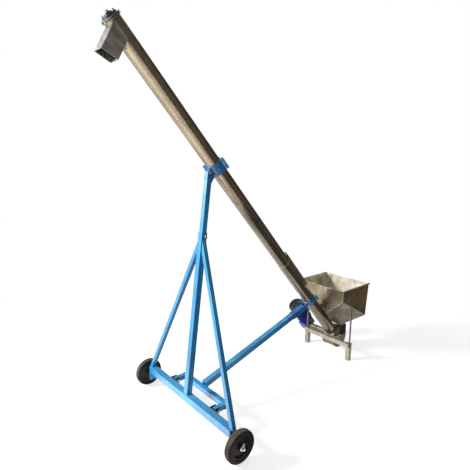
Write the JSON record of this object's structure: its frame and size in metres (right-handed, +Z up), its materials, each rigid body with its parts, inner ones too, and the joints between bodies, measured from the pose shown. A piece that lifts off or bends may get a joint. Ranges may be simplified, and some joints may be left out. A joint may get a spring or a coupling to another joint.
{
  "type": "grain auger",
  "caption": "Inclined screw conveyor for grain: tube with discharge spout, telescopic A-frame on wheels, and a hopper with boot and motor drive at its low end.",
  "frame": {"origin": "middle of the bounding box's underside, on the ground", "axes": "+Z up, +X from the discharge spout towards the hopper, +Y along the axle towards the drive side"},
  "size_m": [2.8384, 1.4372, 3.0455],
  "materials": {
    "frame_blue": "semi-gloss paint",
    "clamp_blue": "semi-gloss paint",
    "motor_blue": "semi-gloss paint",
    "stainless": "rolled and lightly brushed",
    "cast_teal": "dark painted casting",
    "zinc": "zinc plated",
    "bare_steel": "machined",
    "black_steel": "black paint",
    "black_plastic": "matte",
    "seal_rubber": "matte",
    "tyre_rubber": "matte"
  },
  "bodies": {
    "frame": {"axle_beam": "frame_blue", "end_plate_left": "frame_blue", "end_plate_right": "frame_blue", "stub_axle_left": "zinc", "stub_axle_right": "zinc", "axle_clip_left": "zinc", "axle_clip_right": "zinc", "axle_washer_left": "zinc", "axle_washer_right": "zinc", "mast_outer": "frame_blue", "strut_left": "frame_blue", "strut_right": "frame_blue", "hinge_lug_left": "black_steel", "hinge_lug_right": "black_steel", "hinge_pin_left": "zinc", "hinge_pin_right": "zinc"},
    "mast": {"mast_inner": "frame_blue", "mast_head": "clamp_blue", "mast_head_pin": "zinc"},
    "lock_screw": {"mast_lock_screw": "zinc"},
    "auger": {"auger_tube_lower": "stainless", "auger_tube_upper": "stainless", "tube_sleeve": "stainless", "discharge_spout": "stainless", "back_channel": "stainless", "end_flange": "stainless", "flange_gasket": "seal_rubber", "bearing_plate": "stainless", "flange_bearing": "cast_teal", "upper_clamp_over": "clamp_blue", "upper_clamp_under": "clamp_blue", "lower_clamp_over": "clamp_blue", "lower_clamp_under": "clamp_blue", "boot_drum": "stainless", "drum_cover_left": "stainless", "drum_cover_right": "stainless", "drive_housing": "stainless", "gear_case": "cast_teal", "gearbox": "motor_blue", "motor_body": "motor_blue", "fan_cover": "black_plastic", "terminal_box": "black_plastic"},
    "screw": {"screw_shaft": "bare_steel", "screw_flight": "bare_steel"},
    "cross_drive": {"cross_shaft": "bare_steel"},
    "rotor": {"motor_shaft": "bare_steel", "cooling_fan": "black_plastic"},
    "hopper": {"hopper_shell": "stainless", "boot_seal": "seal_rubber", "hopper_stand": "stainless", "hopper_stay_left": "stainless", "hopper_stay_right": "stainless"},
    "drawbar": {"drawbar_yoke": "frame_blue", "drawbar": "frame_blue", "drawbar_sleeve": "clamp_blue", "drawbar_pin": "zinc"},
    "wheel_left": {"tyre_left": "tyre_rubber", "rim_left": "black_plastic"},
    "wheel_right": {"tyre_right": "tyre_rubber", "rim_right": "black_plastic"}
  },
  "joints": [
    {"name": "mast_slide", "type": "slide", "parent": "frame", "child": "mast", "axis": [0.1202, 0, 0.9928], "range_m": [-0.12, 0.04]},
    {"name": "lock_screw_slide", "type": "slide", "parent": "frame", "child": "lock_screw", "axis": [0, -1, 0], "range_m": [0, 0.008]},
    {"name": "auger_tilt", "type": "hinge", "parent": "mast", "child": "auger", "pos_m": [-0.57358, 0, 2.03002], "axis": [0, -1, 0], "range_deg": [-1.2, 2.2]},
    {"name": "drawbar_swing", "type": "hinge", "parent": "frame", "child": "drawbar", "pos_m": [-0.72177, 0, 0.186], "axis": [0, -1, 0], "range_deg": [-4, 1.6]},
    {"name": "hopper_level", "type": "hinge", "parent": "auger", "child": "hopper", "pos_m": [1.22323, 0, 0.16], "axis": [0, -1, 0], "range_deg": [-4.2, 1.6]},
    {"name": "screw_spin", "type": "hinge", "parent": "auger", "child": "screw", "pos_m": [1.22323, 0, 0.16], "axis": [-0.6691, 0, 0.7431], "continuous": true},
    {"name": "cross_spin", "type": "hinge", "parent": "auger", "child": "cross_drive", "pos_m": [1.22323, 0, 0.16], "axis": [0, 1, 0], "continuous": true},
    {"name": "rotor_spin", "type": "hinge", "parent": "auger", "child": "rotor", "pos_m": [1.1998, 0.41, 0.23983], "axis": [-0.6691, 0, 0.7431], "continuous": true},
    {"name": "wheel_left_spin", "type": "hinge", "parent": "frame", "child": "wheel_left", "pos_m": [-0.79677, 0.666, 0.125], "axis": [0, 1, 0], "continuous": true},
    {"name": "wheel_right_spin", "type": "hinge", "parent": "frame", "child": "wheel_right", "pos_m": [-0.79677, -0.666, 0.125], "axis": [0, 1, 0], "continuous": true}
  ],
  "couplings": [
    {"joint": "auger_tilt", "follows": "mast_slide", "rad_per_m": -0.23684},
    {"joint": "drawbar_swing", "follows": "mast_slide", "rad_per_m": 0.49021},
    {"joint": "hopper_level", "follows": "mast_slide", "rad_per_m": 0.5121},
    {"joint": "cross_spin", "follows": "screw_spin", "ratio": -1},
    {"joint": "rotor_spin", "follows": "screw_spin", "ratio": -4}
  ]
}
